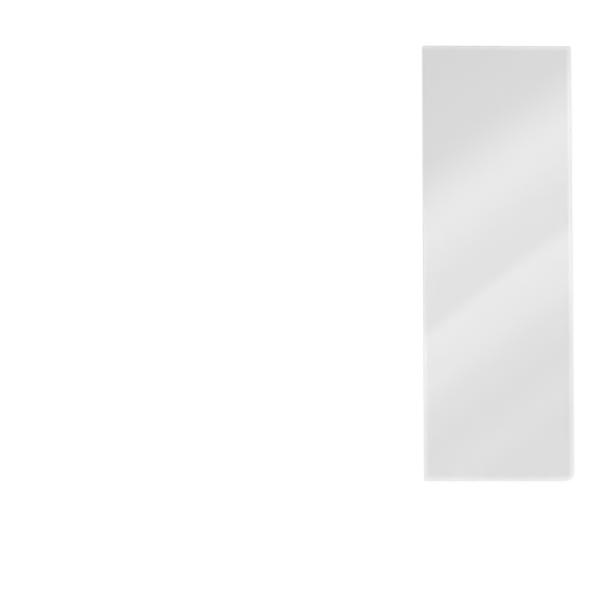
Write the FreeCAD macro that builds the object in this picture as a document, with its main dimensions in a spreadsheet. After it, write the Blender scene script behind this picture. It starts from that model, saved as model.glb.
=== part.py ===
import FreeCAD, Part
import os
import Sketcher

# Microscope slide with cut edges: one slip of clear sheet glass, scored round its outline on the
# upper face and snapped along the score.
#
# Frame, in millimetres: X runs across the slide, Y along it and Z up through the glass. The origin
# is the middle of the lower face, which the slide lies on.

# Each driving size: the alias of its cell, its value in millimetres and what it is.
SIZES = [
    ("slide_length", 76.0, "overall length, along Y"),
    ("slide_width", 26.0, "overall width, along X"),
    ("slide_thickness", 1.0, "thickness of the sheet glass"),
    ("sharp_corner_radius", 0.25, "three corners as they snap, just dulled"),
    ("blunt_corner_radius", 1.6, "the fourth corner, blunted, at +X -Y"),
    ("score_width", 0.12, "bevel that the scoring wheel leaves, across the upper face"),
    ("score_depth", 0.10, "the same bevel, down the cut wall"),
    ("lower_arris", 0.05, "seam on the lower edge, which snaps nearly sharp"),
]

# Two lengths that differ by less than this are the same, in millimetres.
SAME = 1e-4

# What a sketch calls the two ends of a line, and its own origin.
START, END = 1, 2
SKETCH_ORIGIN = (-1, 1)


def sheet_of_sizes(doc):
    """The spreadsheet of driving sizes: name, value under its alias, and meaning, a row each."""
    sheet = doc.addObject("Spreadsheet::Sheet", "Sizes")
    for row, (alias, value, meaning) in enumerate(SIZES, start=1):
        sheet.set("A%d" % row, alias)
        sheet.set("B%d" % row, str(value))
        sheet.set("C%d" % row, meaning)
        sheet.setAlias("B%d" % row, alias)
    doc.recompute()
    return sheet


def outline_sketch(body, sheet):
    """The slide's outline on the body's XY plane, a rectangle held central on the origin."""
    sketch = body.newObject("Sketcher::SketchObject", "Outline")
    planes = {plane.Role: plane for plane in body.Origin.OriginFeatures}
    sketch.AttachmentSupport = [(planes["XY_Plane"], "")]
    sketch.MapMode = "FlatFace"

    half_width = sheet.slide_width / 2
    half_length = sheet.slide_length / 2
    corners = [
        FreeCAD.Vector(-half_width, -half_length, 0),
        FreeCAD.Vector(half_width, -half_length, 0),
        FreeCAD.Vector(half_width, half_length, 0),
        FreeCAD.Vector(-half_width, half_length, 0),
    ]
    near, right, far, left = [
        sketch.addGeometry(Part.LineSegment(start, end), False)
        for start, end in zip(corners, corners[1:] + corners[:1])]

    for line, next_line in ((near, right), (right, far), (far, left), (left, near)):
        sketch.addConstraint(Sketcher.Constraint("Coincident", line, END, next_line, START))
    for line in (near, far):
        sketch.addConstraint(Sketcher.Constraint("Horizontal", line))
    for line in (right, left):
        sketch.addConstraint(Sketcher.Constraint("Vertical", line))
    sketch.addConstraint(Sketcher.Constraint("Symmetric", near, START, right, END, *SKETCH_ORIGIN))

    across = Sketcher.Constraint("DistanceX", near, START, near, END, sheet.slide_width)
    along = Sketcher.Constraint("DistanceY", right, START, right, END, sheet.slide_length)
    sketch.renameConstraint(sketch.addConstraint(across), "across")
    sketch.renameConstraint(sketch.addConstraint(along), "along")
    sketch.setExpression("Constraints.across", "Sizes.slide_width")
    sketch.setExpression("Constraints.along", "Sizes.slide_length")
    return sketch


def is_upright(edge):
    """Whether the edge stands straight through the thickness of the glass."""
    first, last = (vertex.Point for vertex in edge.Vertexes)
    return abs(first.x - last.x) < SAME and abs(first.y - last.y) < SAME


def is_blunt_corner(edge):
    """Whether the edge is the upright one at +X -Y."""
    return is_upright(edge) and edge.CenterOfMass.x > 0 and edge.CenterOfMass.y < 0


def is_sharp_corner(edge):
    """Whether the edge is one of the other three upright ones."""
    return is_upright(edge) and not is_blunt_corner(edge)


def lies_at(height):
    """A test of whether an edge lies level at this height."""
    return lambda edge: all(abs(vertex.Z - height) < SAME for vertex in edge.Vertexes)


def dress_up(body, kind, name, base, wanted):
    """A Fillet or Chamfer of the body on those edges of the base feature that are wanted."""
    feature = body.newObject(kind, name)
    edges = enumerate(base.Shape.Edges, start=1)
    feature.Base = (base, ["Edge%d" % number for number, edge in edges if wanted(edge)])
    return feature


def glass_slide(doc, sheet):
    """The slip of glass: sheet cut to its outline, four corners, scored rim and lower rim."""
    body = doc.addObject("PartDesign::Body", "GlassSlide")
    body.Label = "glass_slide"
    body.Placement = FreeCAD.Placement(FreeCAD.Vector(0, 0, 0), FreeCAD.Rotation())

    outline = outline_sketch(body, sheet)
    glass = body.newObject("PartDesign::Pad", "SheetGlass")
    glass.Profile = outline
    glass.setExpression("Length", "Sizes.slide_thickness")
    doc.recompute()

    blunt = dress_up(body, "PartDesign::Fillet", "BluntCorner", glass, is_blunt_corner)
    blunt.setExpression("Radius", "Sizes.blunt_corner_radius")
    doc.recompute()

    sharp = dress_up(body, "PartDesign::Fillet", "SharpCorners", blunt, is_sharp_corner)
    sharp.setExpression("Radius", "Sizes.sharp_corner_radius")
    doc.recompute()

    # The cut walls come first among the faces, so the first distance is the one down the wall.
    upper_rim = lies_at(sheet.slide_thickness)
    score = dress_up(body, "PartDesign::Chamfer", "ScoreBevel", sharp, upper_rim)
    score.ChamferType = "Two distances"
    score.setExpression("Size", "Sizes.score_depth")
    score.setExpression("Size2", "Sizes.score_width")
    doc.recompute()

    lower_rim = lies_at(0)
    arris = dress_up(body, "PartDesign::Chamfer", "LowerArris", score, lower_rim)
    arris.setExpression("Size", "Sizes.lower_arris")
    doc.recompute()
    return body


def check(doc, bodies):
    """Stop before anything is written if a feature failed or a body is not one sound solid."""
    for feature in doc.Objects:
        if "Invalid" in feature.State or "Error" in feature.State:
            raise RuntimeError("%s did not compute: %s" % (feature.Label, feature.State))
    for body in bodies:
        shape = body.Shape
        if shape.isNull() or not shape.isValid() or len(shape.Solids) != 1:
            raise RuntimeError("%s is not one sound solid" % body.Label)


def write(bodies):
    """One STEP file for each body, named after it."""
    os.makedirs("parts", exist_ok=True)
    for body in bodies:
        body.Shape.exportStep("parts/%s.step" % body.Label)
        box = body.Shape.BoundBox
        print("%s: %.2f x %.2f x %.2f mm, %.1f mm3" % (
            body.Label, box.XLength, box.YLength, box.ZLength, body.Shape.Volume))


doc = FreeCAD.newDocument("MicroscopeSlide")
sheet = sheet_of_sizes(doc)
bodies = [glass_slide(doc, sheet)]
check(doc, bodies)
write(bodies)
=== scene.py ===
"""A glass microscope slide with cut edges, and the white bench, light tent and camera round it."""
import math

import bmesh
import bpy
from bpy.props import FloatProperty, FloatVectorProperty, IntProperty, PointerProperty
from bpy.types import Operator, Panel, PropertyGroup
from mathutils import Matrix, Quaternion, Vector


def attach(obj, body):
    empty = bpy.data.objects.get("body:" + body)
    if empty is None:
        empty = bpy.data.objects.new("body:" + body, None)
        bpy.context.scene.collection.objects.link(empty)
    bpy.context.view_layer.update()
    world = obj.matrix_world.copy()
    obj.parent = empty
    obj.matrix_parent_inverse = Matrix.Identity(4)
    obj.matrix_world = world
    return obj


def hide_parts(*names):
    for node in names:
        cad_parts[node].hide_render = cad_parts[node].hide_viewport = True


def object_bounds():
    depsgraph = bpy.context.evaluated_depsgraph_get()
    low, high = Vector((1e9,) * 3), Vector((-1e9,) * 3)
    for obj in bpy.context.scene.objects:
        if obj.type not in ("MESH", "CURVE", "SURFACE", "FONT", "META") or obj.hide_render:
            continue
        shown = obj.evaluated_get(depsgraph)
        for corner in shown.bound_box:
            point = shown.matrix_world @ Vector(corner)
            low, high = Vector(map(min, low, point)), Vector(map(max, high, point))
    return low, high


bl_info = {
    "name": "Microscope Slide",
    "version": (1, 0, 0),
    "blender": (4, 5, 0),
    "location": "3D View > Sidebar > Slide",
    "description": "Models a glass microscope slide with cut edges on a white bench",
    "category": "Object",
}

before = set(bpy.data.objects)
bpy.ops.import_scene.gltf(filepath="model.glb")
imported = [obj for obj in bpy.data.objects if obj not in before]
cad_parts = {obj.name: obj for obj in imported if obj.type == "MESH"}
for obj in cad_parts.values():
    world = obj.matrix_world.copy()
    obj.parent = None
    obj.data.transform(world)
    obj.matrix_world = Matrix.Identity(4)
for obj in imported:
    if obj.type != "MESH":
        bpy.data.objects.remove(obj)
CAD_LOW, CAD_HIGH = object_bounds()
CAD_SIZE = CAD_HIGH - CAD_LOW
MM = 0.001
# Two places closer than this, in metres, count as one.
SAME = 1e-6


def metres(name, description, value, digits=5):
    """A length in metres that the sidebar shows."""
    return FloatProperty(
        name=name, description=description, default=value, unit="LENGTH", precision=digits)


def share(name, description, value):
    """A number from 0 to 1 that the sidebar shows as a slider."""
    return FloatProperty(
        name=name, description=description, default=value, min=0, max=1, subtype="FACTOR")


def colour(name, description, red, green, blue):
    """A colour that the sidebar shows as a swatch."""
    return FloatVectorProperty(
        name=name, description=description, default=(red, green, blue), size=3, min=0, max=1,
        subtype="COLOR")


# Sizes and colours


class SlideShape(PropertyGroup):
    """The sizes of the slip of glass."""

    width: metres("Width", "Across the slide", CAD_SIZE.x)
    length: metres("Length", "Along the slide", CAD_SIZE.y)
    thickness: metres("Thickness", "Through the glass", CAD_SIZE.z)
    sharp_corner: metres("Sharp corners", "Radius of the three corners as they snap", 0.25 * MM)
    blunt_corner: metres("Blunt corner", "Radius of the fourth corner", 1.6 * MM)
    score_width: metres("Score width", "Scored bevel, across the upper face", 0.12 * MM)
    score_depth: metres("Score depth", "Scored bevel, down the wall", 0.10 * MM)
    lower_arris: metres("Lower arris", "Seam on the lower edge", 0.05 * MM)
    hackle_pitch: metres("Hackle pitch", "Spacing of the facets along the cut walls", 0.4 * MM)
    hackle_depth: metres("Hackle depth", "How far the cut walls wander", 0.025 * MM, 6)
    hackle_rows: IntProperty(
        name="Hackle rows", description="Rows of facets up the cut walls", default=3, min=2)
    blunt_steps: IntProperty(
        name="Blunt steps", description="Facets round the blunt corner", default=20, min=4)
    sharp_steps: IntProperty(
        name="Sharp steps", description="Facets round each sharp corner", default=6, min=2)


class GlassFinish(PropertyGroup):
    """The tints and polish of the glass, and the painted light in the faces' rim."""

    face_tint: colour("Face tint", "What the polished faces let through", 0.717, 0.717, 0.717)
    # The rim settings paint light: a paler base colour in a narrow band round the polished faces,
    # standing in for light that the cut edges throw on the bench beneath.
    painted_rim_light: colour("Rim tint", "What the lower face's rim lets through", 0.95, 0.95, 0.95)
    rim_above: share("Rim above", "How pale the upper face's rim is, next to the lower one's", 0.3)
    rim_width: metres("Rim width", "Width of the paler rim", 1.04 * MM)
    rim_taper: metres("Rim taper", "How much narrower the rim gets up the side at -X", 0.7 * MM)
    rim_corner: metres("Rim corner", "Radius of the rim at the sharp corners", 1.0 * MM)
    wall_tint: colour("Wall tint", "What the cut walls let through", 0.63, 0.71, 0.685)
    wall_roughness: share("Wall roughness", "How dull the cut walls are", 0.06)
    wall_grain: metres("Wall grain", "Depth of the fine grain on the cut walls", 0.02 * MM, 6)
    frost_tint: colour("Frost tint", "What the scored bevel lets through", 1.0, 1.0, 1.0)
    frost_low: share("Least frost", "How dull the scored bevel is where it is clearest", 0.08)
    frost_high: share("Most frost", "How dull the scored bevel is where it is cloudiest", 0.2)
    frost_grain: metres("Frost grain", "Depth of the crushed grain on the bevel", 0.01 * MM, 6)
    deep_tint: colour("Deep tint", "Hue of the glass seen through its length", 0.69, 0.76, 0.74)
    deep_density: FloatProperty(
        name="Deep density", description="How fast that hue builds up, in each metre", default=6)
    ior: FloatProperty(name="IOR", description="Refractive index of the glass", default=1.518)
    waviness: metres("Waviness", "Height of the slow waves in the sheet", 0.006 * MM, 7)


class BenchSetting(PropertyGroup):
    """The bench, the lights and the camera."""

    bench_width: metres("Bench width", "Side of the square bench top", 12.0)
    air_gap: metres("Air gap", "Between the slide and the bench", 0.05 * MM)
    bench_white: share("Bench white", "How much light the bench top scatters", 0.22)
    bench_light: FloatProperty(
        name="Bench light", description="How bright the bench top looks where nothing shades it",
        default=1.07)
    tent_radius: metres("Tent radius", "Radius of the domed light tent", 0.6)
    strip_light: FloatProperty(
        name="Strip light", description="Strength of the tent's strip lamps", default=1.7)
    strip_start: metres("Strip start", "Where the image of one set of strips begins", -24 * MM)
    strip_period: metres("Strip period", "From one set's image to the next one's", 90 * MM)
    strip_climb: FloatProperty(
        name="Strip climb", description="How much the strips crowd or spread up the dome", default=0.6)
    strip_turn: FloatProperty(
        name="Strip turn", description="How far the strips' images lean on the glass",
        default=math.radians(36.5), subtype="ANGLE")
    tent_foot: share("Tent foot", "Share of the strips' light left at the dome's foot", 0.15)
    lamp_power: FloatProperty(
        name="Lamp power", description="Power of the soft lamp", default=6.0, unit="POWER")
    lamp_size: metres("Lamp size", "Side of the square soft lamp", 1.0)
    lamp_place: FloatVectorProperty(
        name="Lamp place", description="Where the soft lamp hangs", default=(-0.7, 0.6, 1.3),
        size=3, subtype="TRANSLATION")
    light_turns: IntProperty(
        name="Light turns", description="How often light may turn inside the glass", default=160)
    sky_light: FloatProperty(
        name="Sky light", description="Strength of the pale room round the bench", default=0.9)
    view_distance: metres("View distance", "From the camera to the slide", 0.9)
    view_lens: FloatProperty(
        name="View lens", description="Focal length, in millimetres", default=310.8)
    view_height: FloatProperty(
        name="View height", description="The camera's height above the horizon",
        default=math.radians(83.4), subtype="ANGLE")
    view_turn: FloatProperty(
        name="View turn", description="The camera's turn round the slide",
        default=math.radians(-21.7), subtype="ANGLE")
    view_aside: metres("View aside", "How far right of the view's middle the slide lies", 0.03434)
    view_above: metres("View above", "How far above the view's middle the slide lies", 0.00653)


# Shader nodes, written as sums

# The noise values at which a patch starts and ends.
PATCH_ENDS = (0.35, 0.65)


class Signal:
    """A shader socket that takes part in Python sums: each operation adds a Math node."""

    def __init__(self, book, socket):
        self.book = book
        self.socket = socket

    def math(self, operation, *terms):
        """The Math node that does this operation on these terms."""
        return self.book.add("ShaderNodeMath", {"operation": operation}, dict(enumerate(terms)))

    def __add__(self, other):
        return self.math("ADD", self, other)

    def __sub__(self, other):
        return self.math("SUBTRACT", self, other)

    def __mul__(self, other):
        return self.math("MULTIPLY", self, other)

    def __truediv__(self, other):
        return self.math("DIVIDE", self, other)

    def __rsub__(self, other):
        return self.math("SUBTRACT", other, self)

    def __rtruediv__(self, other):
        return self.math("DIVIDE", other, self)

    __radd__ = __add__
    __rmul__ = __mul__

    def __abs__(self):
        return self.math("ABSOLUTE", self)

    def __mod__(self, other):
        return self.math("FLOORED_MODULO", self, other)

    def root(self):
        """Its square root."""
        return self.math("SQRT", self)

    def is_over(self, floor):
        """1 where it is more than the floor, and 0 elsewhere."""
        return self.math("GREATER_THAN", self, floor)

    def at_least(self, floor):
        """Itself, or the floor where that is more."""
        return self.math("MAXIMUM", self, floor)

    def at_most(self, ceiling):
        """Itself, or the ceiling where that is less."""
        return self.math("MINIMUM", self, ceiling)


class NodeBook:
    """The nodes of one material or world."""

    def __init__(self, owner):
        owner.use_nodes = True
        self.tree = owner.node_tree
        self.tree.nodes.clear()

    def add(self, kind, settings=None, values=None, output=0):
        """A node of this type, with its settings made first and then its sockets filled or linked."""
        node = self.tree.nodes.new(kind)
        for name, value in (settings or {}).items():
            if name == "stops":
                self.set_stops(node.color_ramp, value)
            else:
                setattr(node, name, value)
        for name, value in (values or {}).items():
            if isinstance(value, Signal):
                self.tree.links.new(value.socket, node.inputs[name])
            else:
                node.inputs[name].default_value = value
        return Signal(self, node.outputs[output]) if node.outputs else None

    @staticmethod
    def set_stops(ramp, stops):
        """Gives a colour ramp these grey stops: pairs of a place from 0 to 1 and a brightness."""
        ramp.interpolation = "EASE"
        while len(ramp.elements) < len(stops):
            ramp.elements.new(1)
        for element, (place, brightness) in zip(ramp.elements, stops):
            element.position = place
            element.color = (brightness, brightness, brightness, 1)

    def point(self):
        """The point on the piece, as Object coordinates."""
        return self.add("ShaderNodeTexCoord", output="Object")

    def part(self, vector, axis):
        """One part of a vector: axis 0, 1 or 2 for its x, y or z."""
        return self.add("ShaderNodeSeparateXYZ", values={0: vector}, output=axis)

    def fade(self, value, start, end, low=0.0, high=1.0):
        """low where value is at start or before, high from end on, and a smooth change between."""
        values = {"Value": value, "From Min": start, "From Max": end, "To Min": low, "To Max": high}
        return self.add("ShaderNodeMapRange", {"interpolation_type": "SMOOTHSTEP"}, values)

    def noise(self, point, scale, detail):
        """Fractal noise at this scale, in cycles a metre."""
        return self.add("ShaderNodeTexNoise", values={
            "Vector": point, "Scale": scale, "Detail": detail})

    def patches(self, point, scale, detail, low=0.0, high=1.0):
        """Soft patches of noise, which run from low to high."""
        return self.fade(self.noise(point, scale, detail), *PATCH_ENDS, low, high)

    def bumps(self, height, depth):
        """A normal that rises and falls with the height, by this depth in metres."""
        return self.add("ShaderNodeBump", values={
            "Strength": 1.0, "Distance": depth, "Height": height}, output="Normal")

    def blend(self, factor, first, second):
        """The first colour where factor is 0, the second where it is 1."""
        values = {0: factor, 6: rgba(first), 7: rgba(second)}
        return self.add("ShaderNodeMix", {"data_type": "RGBA"}, values, output=2)

    def stretch(self, point, x, y, z):
        """The point with each of its parts multiplied."""
        return self.add("ShaderNodeVectorMath", {"operation": "MULTIPLY"}, {0: point, 1: (x, y, z)})


def rgba(value):
    """A colour with an alpha of 1, or the signal as it is."""
    return value if isinstance(value, Signal) else (*value, 1)


# Modelling helpers


def pick(kind, wanted):
    """Selects just the vertices, edges or faces for which wanted(item) holds."""
    bpy.ops.mesh.select_mode(type=kind)
    bpy.ops.mesh.select_all(action="DESELECT")
    mesh = bmesh.from_edit_mesh(bpy.context.object.data)
    items = {"VERT": mesh.verts, "EDGE": mesh.edges, "FACE": mesh.faces}[kind]
    for item in items:
        if wanted(item):
            item.select_set(True)
    mesh.select_flush_mode()
    bmesh.update_edit_mesh(bpy.context.object.data)


def run_of(edge):
    """The vector from one end of an edge to the other."""
    return edge.verts[1].co - edge.verts[0].co


def is_upright(edge):
    """Whether an edge stands straight up."""
    run = run_of(edge)
    return abs(run.x) < SAME and abs(run.y) < SAME


def middle_of(edge):
    """The point halfway along an edge."""
    return (edge.verts[0].co + edge.verts[1].co) / 2


# The glass slide

# How many of a cut wall's facets one lump of its hackle spans.
FACETS_A_LUMP = 2.5
# The lumps' brightness at which a wall stays where it is. Most are darker and lie further in.
UNMOVED_TONE = 0.62
# Facets that meet at less than this angle shade as one surface.
CREASE = math.radians(30)


class OBJECT_OT_add_glass_slide(Operator):
    """Model the slip of glass and give it its three finishes"""

    bl_idname = "object.add_glass_slide"
    bl_label = "Glass slide"

    def execute(self, context):
        shape = context.scene.slide_shape
        slide = self.cut_blank(shape)
        self.round_corners(shape)
        self.divide_walls(shape)
        self.bevel_rims(shape)
        bpy.ops.object.mode_set(mode="OBJECT")
        self.roughen_walls(slide, shape)
        self.check_closed(slide)
        self.assign_finishes(slide, shape, context.scene.glass_finish)
        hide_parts("glass_slide")
        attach(slide, "root")
        return {"FINISHED"}

    def cut_blank(self, shape):
        """The middle of the glass, as high as its upright walls, with no upper or lower face."""
        wall_low = shape.lower_arris
        wall_high = shape.thickness - shape.score_depth
        bpy.ops.object.select_all(action="DESELECT")
        bpy.ops.mesh.primitive_cube_add(size=1, location=(0, 0, (wall_low + wall_high) / 2))
        slide = bpy.context.object
        slide.name = "slide_glass"
        slide.data.name = "slide_glass"
        slide.scale = (shape.width, shape.length, wall_high - wall_low)
        bpy.ops.object.transform_apply(location=True, rotation=True, scale=True)
        bpy.ops.object.mode_set(mode="EDIT")
        pick("FACE", lambda face: abs(face.normal.z) > 0.9)
        bpy.ops.mesh.delete(type="ONLY_FACE")
        return slide

    def round_corners(self, shape):
        """Rounds the blunt corner at +X -Y, and takes the points off the three sharp ones."""
        def at_blunt_corner(edge):
            return is_upright(edge) and middle_of(edge).x > 0 and middle_of(edge).y < 0

        pick("EDGE", at_blunt_corner)
        bpy.ops.mesh.bevel(
            offset=shape.blunt_corner, segments=shape.blunt_steps, affect="EDGES",
            clamp_overlap=False)

        def at_sharp_corner(edge):
            aside, along = abs(middle_of(edge).x), abs(middle_of(edge).y)
            at_corner = aside > shape.width / 2 - SAME and along > shape.length / 2 - SAME
            return is_upright(edge) and at_corner

        pick("EDGE", at_sharp_corner)
        bpy.ops.mesh.bevel(
            offset=shape.sharp_corner, segments=shape.sharp_steps, affect="EDGES",
            clamp_overlap=False)

    def divide_walls(self, shape):
        """Cuts the walls into small facets: along each straight side, then in rows."""
        for across in (0, 1):
            span = (shape.width, shape.length)[across]

            def runs_along(edge):
                return abs(run_of(edge)[across]) > span / 2

            pick("EDGE", runs_along)
            bpy.ops.mesh.subdivide(number_cuts=round(span / shape.hackle_pitch))
        pick("EDGE", is_upright)
        bpy.ops.mesh.subdivide(number_cuts=shape.hackle_rows - 1)

    def bevel_rims(self, shape):
        """Closes the glass with its two faces, each standing off the walls by its bevel."""
        middle = shape.thickness / 2
        rims = (
            (lambda z: z > middle, shape.score_width, shape.score_depth),
            (lambda z: z < middle, shape.lower_arris, shape.lower_arris))
        for on_this_side, across, down in rims:
            pick("EDGE", lambda edge: edge.is_boundary and on_this_side(middle_of(edge).z))
            bpy.ops.mesh.edge_face_add()
            bpy.ops.mesh.inset(thickness=across, depth=down)
        bpy.ops.mesh.select_all(action="SELECT")
        bpy.ops.mesh.normals_make_consistent(inside=False)

    def roughen_walls(self, slide, shape):
        """Lets the cut walls wander a little, as glass does where it breaks along a score."""
        wall_low = shape.lower_arris - SAME
        wall_high = shape.thickness - shape.score_depth + SAME
        walls = slide.vertex_groups.new(name="cut_walls")
        on_walls = [v.index for v in slide.data.vertices if wall_low < v.co.z < wall_high]
        walls.add(on_walls, 1.0, "REPLACE")
        lumps = bpy.data.textures.new("hackle", "CLOUDS")
        lumps.noise_scale = FACETS_A_LUMP * shape.hackle_pitch
        lumps.noise_depth = 2
        wander = slide.modifiers.new("wander", "DISPLACE")
        wander.texture = lumps
        wander.texture_coords = "LOCAL"
        wander.vertex_group = walls.name
        wander.mid_level = UNMOVED_TONE
        wander.strength = shape.hackle_depth
        bpy.ops.object.modifier_apply(modifier=wander.name)
        bpy.ops.object.shade_smooth_by_angle(angle=CREASE)

    def check_closed(self, slide):
        """Stops unless the glass is closed all round, so that it has an inside to tint."""
        mesh = bmesh.new()
        mesh.from_mesh(slide.data)
        is_closed = all(edge.is_manifold for edge in mesh.edges)
        mesh.free()
        if not is_closed:
            raise RuntimeError("The slide's surface is open")

    def assign_finishes(self, slide, shape, finish):
        """Polished faces, cut walls and the frosted bevel that the scoring wheel left."""
        bevel_low = shape.thickness - shape.score_depth
        for material in (polished_glass(shape, finish), cut_glass(finish), scored_glass(finish)):
            slide.data.materials.append(material)
        polished, cut, scored = range(3)
        for face in slide.data.polygons:
            if abs(face.normal.z) > 0.99:
                face.material_index = polished
            elif face.center.z > bevel_low:
                face.material_index = scored
            else:
                face.material_index = cut


# The finishes of the glass

# How fine each pattern in the glass is, in cycles a metre.
SHEET_WAVES = 45
# The rim's patches make the painted rim light stronger and weaker along the edges.
RIM_PATCHES = 70
WALL_PATCHES = 900
WALL_HACKLE = 4000
FROST_SPECKS = 6000


def start_material(name):
    """A new material, and the book of its nodes."""
    material = bpy.data.materials.new(name)
    return material, NodeBook(material)


def pour_glass(book, finish, tint, roughness, normal):
    """Ends a material as clear glass with this surface, tinted by its depth too."""
    surface = book.add("ShaderNodeBsdfPrincipled", values={
        "Base Color": tint, "Roughness": roughness, "Normal": normal, "IOR": finish.ior,
        "Transmission Weight": 1.0})
    depth = book.add("ShaderNodeVolumeAbsorption", values={
        "Color": rgba(finish.deep_tint), "Density": finish.deep_density})
    book.add("ShaderNodeOutputMaterial", values={"Surface": surface, "Volume": depth})


def rim_depth(book, x, y, shape, finish):
    """How far a point lies inside the line that the painted rim light follows, in metres.

    The line is the slide's outline with rounder corners, and at -X it leans out towards +Y.
    """
    at_blunt_corner = x.is_over(0) * (0 - y).is_over(0)
    radius = finish.rim_corner + at_blunt_corner * (shape.blunt_corner - finish.rim_corner)
    taper = book.fade(y, -0.32 * shape.length, 0.5 * shape.length, 0, finish.rim_taper)
    aside = x.at_least(0 - x - taper) - shape.width / 2 + radius
    along = abs(y) - shape.length / 2 + radius
    corner_aside, corner_along = aside.at_least(0), along.at_least(0)
    from_middle = (corner_aside * corner_aside + corner_along * corner_along).root()
    return radius - from_middle - aside.at_least(along).at_most(0)


def polished_glass(shape, finish):
    """The fire-polished faces: even grey clear glass, faintly wavy, with painted light in a narrow
    rim, paler there to stand in for the light that the cut edges throw on the bench beneath.
    """
    material, book = start_material("polished_glass")
    point = book.point()
    x, y, z = [book.part(point, axis) for axis in range(3)]
    inside = book.fade(rim_depth(book, x, y, shape, finish), 0, finish.rim_width)
    # Soft patches vary the strength of the painted rim light.
    patches = book.patches(point, RIM_PATCHES, 1.0, 0.8)
    # The painted rim light is faintest at the corner at -X +Y, and full from a little past the middle.
    towards_blunt_corner = book.fade(x / shape.width - y / shape.length, -1, 0.3, 0.6)
    # The painted rim light is fainter on the upper face.
    fainter_above = 1 - z.is_over(shape.thickness / 2) * (1 - finish.rim_above)
    # pale is the painted light: how far the rim's paler colour replaces the face tint.
    pale = (1 - inside) * patches * towards_blunt_corner * fainter_above
    tint = book.blend(pale, finish.face_tint, finish.painted_rim_light)
    waves = book.noise(book.stretch(point, 1, 0.6, 0), SHEET_WAVES, 1.0)
    pour_glass(book, finish, tint, 0.0, book.bumps(waves, finish.waviness))
    return material


def cut_glass(finish):
    """The snapped walls: bright glass with fine upright hackle."""
    material, book = start_material("cut_glass")
    point = book.point()
    paler = [1 - (1 - part) * 0.4 for part in finish.wall_tint]
    tint = book.blend(book.patches(point, WALL_PATCHES, 2.0), finish.wall_tint, paler)
    hackle = book.noise(book.stretch(point, 1, 1, 0.25), WALL_HACKLE, 3.0)
    pour_glass(book, finish, tint, finish.wall_roughness, book.bumps(hackle, finish.wall_grain))
    return material


def scored_glass(finish):
    """The bevel that the scoring wheel crushed: finely frosted."""
    material, book = start_material("scored_glass")
    specks = book.noise(book.point(), FROST_SPECKS, 3.0)
    cloudy = [part * 0.97 for part in finish.frost_tint]
    tint = book.blend(specks, finish.frost_tint, cloudy)
    roughness = book.fade(specks, 0.3, 0.7, finish.frost_low, finish.frost_high)
    pour_glass(book, finish, tint, roughness, book.bumps(specks, finish.frost_grain))
    return material


# The bench, the lights and the camera

# Brightness of the room, from the horizon at 0 to straight overhead at 1.
ROOM_TONES = [(0.0, 0.82), (0.12, 0.76), (0.42, 0.62), (0.7, 0.8), (1.0, 1.0)]

# Brightness across one set of strip lamps: two bright strips side by side, then two faint ones,
# and a dark gap before the next set.
STRIP_TONES = [
    (0.0, 0.2), (0.135, 1.2), (0.24, 0.76), (0.275, 0.74), (0.30, 1.26), (0.36, 1.08),
    (0.42, 0.63), (0.47, 0.44), (0.53, 0.6), (0.58, 0.42), (0.68, 0.46), (0.84, 0.0),
    (1.0, 0.2)]


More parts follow.
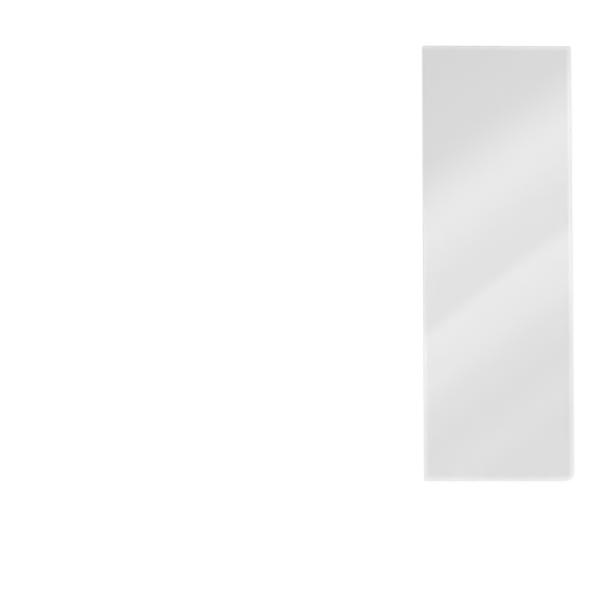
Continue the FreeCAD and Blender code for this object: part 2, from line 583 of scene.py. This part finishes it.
class SCENE_OT_lay_slide_bench(Operator):
    """Lay the white bench, hang the lights and set the camera over the slide"""

    bl_idname = "scene.lay_slide_bench"
    bl_label = "Bench, lights and camera"

    def execute(self, context):
        bench = context.scene.bench_setting
        context.scene.view_settings.view_transform = "Standard"
        self.let_light_run(context.scene.cycles, bench.light_turns)
        camera = self.set_camera(context, bench)
        self.lay_bench(bench)
        self.light_room(context, bench)
        self.hang_lamp(bench)
        self.pitch_tent(bench, camera.location)
        return {"FINISHED"}

    def let_light_run(self, cycles, turns):
        """Room for the many turns that light takes inside the glass on its way to the far end."""
        cycles.max_bounces = turns
        cycles.glossy_bounces = turns
        cycles.transmission_bounces = turns

    def set_camera(self, context, bench):
        """A long lens nearly straight above, with the slide to the right of the view's middle."""
        height, turn = bench.view_height, bench.view_turn
        back = Vector((
            math.sin(turn) * math.cos(height), -math.cos(turn) * math.cos(height),
            math.sin(height)))
        look = (-back).to_track_quat("-Z", "Y") @ Quaternion((0, 0, 1), -turn)
        aside = look @ Vector((bench.view_aside, bench.view_above, 0))
        slide_middle = (CAD_LOW + CAD_HIGH) / 2
        bpy.ops.object.camera_add(location=slide_middle + back * bench.view_distance - aside)
        camera = context.object
        camera.rotation_mode = "QUATERNION"
        camera.rotation_quaternion = look
        camera.data.lens = bench.view_lens
        camera.data.clip_end = 10
        context.scene.camera = camera
        return camera

    def lay_bench(self, bench):
        """A white bench top that keeps its brightness behind glass and in reflections."""
        bpy.ops.mesh.primitive_plane_add(size=bench.bench_width, location=(0, 0, -bench.air_gap))
        top = bpy.context.object
        top.name = "bench_top"
        bpy.ops.object.transform_apply(location=True, rotation=True, scale=True)
        material, book = start_material("bench_white")
        white = bench.bench_white
        glow_share = bench.bench_light - white
        scatter = book.add("ShaderNodeBsdfDiffuse", values={"Color": (white, white, white, 1)})
        glow = book.add("ShaderNodeEmission", values={"Strength": seen_directly(book) * glow_share})
        both = book.add("ShaderNodeAddShader", values={0: scatter, 1: glow})
        book.add("ShaderNodeOutputMaterial", values={"Surface": both})
        top.data.materials.append(material)

    def light_room(self, context, bench):
        """A pale room: brightest overhead, and greyest some way above the horizon."""
        world = bpy.data.worlds.new("pale_room")
        context.scene.world = world
        book = NodeBook(world)
        direction = book.add("ShaderNodeTexCoord", output="Generated")
        rise = book.part(direction, 2)
        tone = book.add("ShaderNodeValToRGB", {"stops": ROOM_TONES}, {0: rise})
        room = book.add("ShaderNodeBackground", values={"Color": tone, "Strength": bench.sky_light})
        book.add("ShaderNodeOutputWorld", values={"Surface": room})

    def hang_lamp(self, bench):
        """One large soft lamp, high on the left."""
        bpy.ops.object.light_add(type="AREA", location=bench.lamp_place)
        lamp = bpy.context.object
        lamp.name = "soft_lamp"
        lamp.data.size = bench.lamp_size
        lamp.data.energy = bench.lamp_power
        lamp.rotation_mode = "QUATERNION"
        lamp.rotation_quaternion = (-lamp.location).to_track_quat("-Z", "Y")
        lamp.visible_camera = False
        lamp.visible_glossy = False
        lamp.visible_transmission = False

    def pitch_tent(self, bench, eye):
        """A dome of strip lamps that shows only in the glass.

        The strips lie in slanting bands all over the dome. They are placed so that the images of
        one set cross the slide as seen from the eye.
        """
        bpy.ops.mesh.primitive_uv_sphere_add(segments=96, ring_count=48, radius=bench.tent_radius)
        tent = bpy.context.object
        tent.name = "light_tent"
        bpy.ops.object.mode_set(mode="EDIT")
        pick("VERT", lambda vertex: vertex.co.z < -SAME)
        bpy.ops.mesh.delete(type="VERT")
        bpy.ops.object.mode_set(mode="OBJECT")
        tent.data.materials.append(self.strip_lamps(bench, eye))
        tent.visible_camera = False
        tent.visible_diffuse = False
        tent.visible_shadow = False

    def strip_lamps(self, bench, eye):
        """The strips' glow over the dome, as a pattern that repeats along one slanting line."""
        # The place on the dome that the eye sees mirrored in the middle of the slide.
        slide_middle = Vector((0, 0, CAD_HIGH.z))
        ray = slide_middle - eye
        ray.z = -ray.z
        ray.normalize()
        mirrored = slide_middle + ray * bench.tent_radius
        # How much larger a strip is than its image on the slide.
        growth = 1 + bench.tent_radius / bench.view_distance
        # The line along which the pattern repeats: it touches the dome there, tilted outwards.
        across = Vector((math.sin(bench.strip_turn), -math.cos(bench.strip_turn), 0))
        outward = mirrored.normalized()
        across = (across - outward * across.dot(outward)).normalized() + outward * bench.strip_climb

        material, book = start_material("strip_lamps")
        point = book.point()
        offset = book.add("ShaderNodeVectorMath", {"operation": "SUBTRACT"}, {0: point, 1: mirrored})
        along = book.add(
            "ShaderNodeVectorMath", {"operation": "DOT_PRODUCT"}, {0: offset, 1: across},
            output="Value")
        place = (along / growth - bench.strip_start) / bench.strip_period
        tone = book.add("ShaderNodeValToRGB", {"stops": STRIP_TONES}, {0: place % 1.0})
        low, high = 0.3 * bench.tent_radius, 0.85 * bench.tent_radius
        overhead = book.fade(book.part(point, 2), low, high, bench.tent_foot, 1.0)
        # The strips show in the glass, and throw no light on the bench.
        unscattered = 1 - book.add("ShaderNodeLightPath", output="Diffuse Depth").at_most(1)
        glow = book.add("ShaderNodeEmission", values={
            "Color": book.blend(overhead, (0, 0, 0), tone),
            "Strength": unscattered * bench.strip_light})
        clear = book.add("ShaderNodeBsdfTransparent")
        both = book.add("ShaderNodeAddShader", values={0: glow, 1: clear})
        book.add("ShaderNodeOutputMaterial", values={"Surface": both})
        return material


def seen_directly(book):
    """1 for a ray from the camera, a mirror or glass, and 0 for one that carries light."""
    kinds = ("Is Camera Ray", "Is Glossy Ray", "Is Transmission Ray")
    camera, glossy, through = [book.add("ShaderNodeLightPath", output=kind) for kind in kinds]
    return (camera + glossy + through).at_most(1)


# The sidebar


class VIEW3D_PT_microscope_slide(Panel):
    """The slide's steps and settings"""

    bl_label = "Microscope slide"
    bl_space_type = "VIEW_3D"
    bl_region_type = "UI"
    bl_category = "Slide"

    def draw(self, context):
        scene = context.scene
        steps = (
            (OBJECT_OT_add_glass_slide, (scene.slide_shape, scene.glass_finish)),
            (SCENE_OT_lay_slide_bench, (scene.bench_setting,)))
        for operator, settings in steps:
            box = self.layout.box()
            box.operator(operator.bl_idname)
            for group in settings:
                for name in group.__annotations__:
                    box.prop(group, name)


CLASSES = (
    SlideShape, GlassFinish, BenchSetting, OBJECT_OT_add_glass_slide, SCENE_OT_lay_slide_bench,
    VIEW3D_PT_microscope_slide)
SETTINGS = {
    "slide_shape": SlideShape, "glass_finish": GlassFinish, "bench_setting": BenchSetting}


def register():
    for kind in CLASSES:
        bpy.utils.register_class(kind)
    for name, group in SETTINGS.items():
        setattr(bpy.types.Scene, name, PointerProperty(type=group))


def unregister():
    for name in SETTINGS:
        delattr(bpy.types.Scene, name)
    for kind in reversed(CLASSES):
        bpy.utils.unregister_class(kind)


def main():
    register()
    bpy.ops.object.add_glass_slide()
    bpy.ops.scene.lay_slide_bench()


if __name__ == "__main__":
    main()
